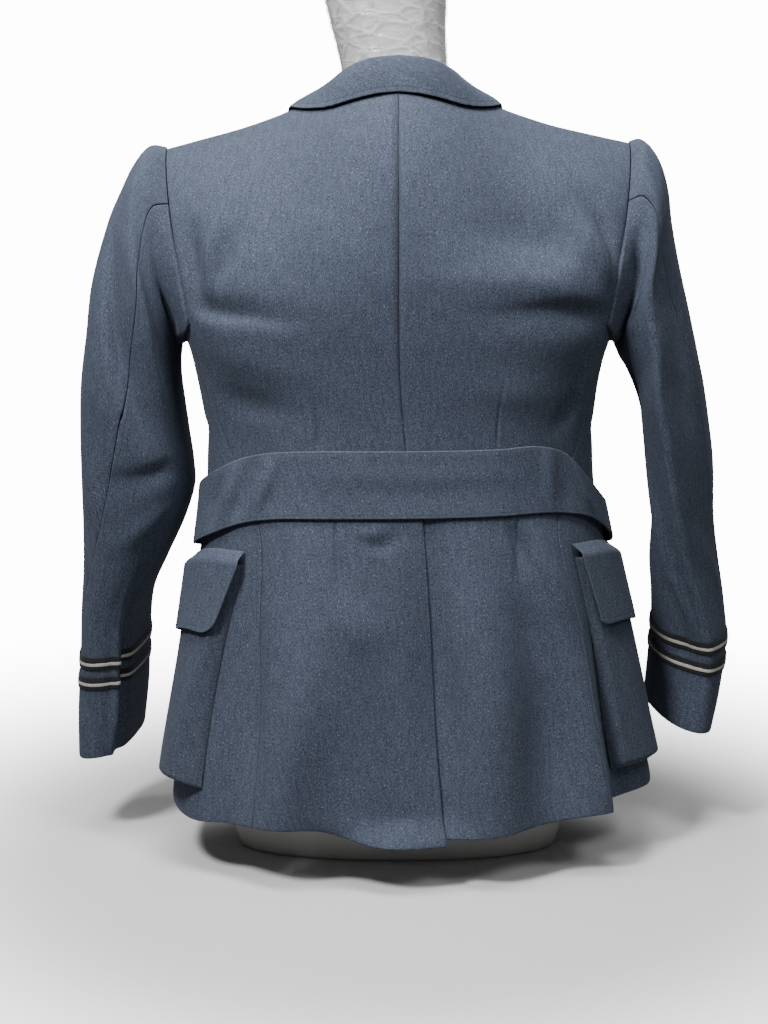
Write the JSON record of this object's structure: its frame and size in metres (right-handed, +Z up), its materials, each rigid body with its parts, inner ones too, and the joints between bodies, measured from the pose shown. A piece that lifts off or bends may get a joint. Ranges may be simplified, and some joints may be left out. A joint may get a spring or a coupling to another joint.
{
  "type": "service dress jacket on a limbless dress form",
  "caption": "Belted blue-grey wool service dress jacket with bellows hip pockets, braided cuffs and a back vent, on a plain limbless dress form with a neck stump",
  "frame": {"origin": "middle of the outline, on the flat foot of the dress form", "axes": "+Z up; the wearer's front faces -Y; the wearer's left is +X"},
  "size_m": [0.7142, 0.3422, 0.915],
  "materials": {
    "wool": "fine heathered wool cloth, matt",
    "braid": "black woven braid with a pale centre stripe",
    "gilt": "polished gilt",
    "form": "smooth pale shell"
  },
  "bodies": {
    "root": {"back_left": "wool", "back_right": "wool", "side_left": "wool", "side_right": "wool", "front_left": "wool", "front_right": "wool", "lapel_left": "wool", "lapel_right": "wool", "sleeve_top_left": "wool", "sleeve_top_right": "wool", "sleeve_under_left": "wool", "sleeve_under_right": "wool", "pocket_left": "wool", "pocket_right": "wool", "pocket_flap_left": "wool", "pocket_flap_right": "wool", "collar_fall": "wool", "collar_stand": "wool", "belt": "wool", "belt_tip": "wool", "rank_braid_left_1": "braid", "rank_braid_left_2": "braid", "rank_braid_right_1": "braid", "rank_braid_right_2": "braid", "belt_buckle": "gilt", "buckle_prong": "gilt", "button_1": "gilt", "button_2": "gilt", "button_3": "gilt", "button_4": "gilt", "dress_form": "form"}
  },
  "joints": []
}
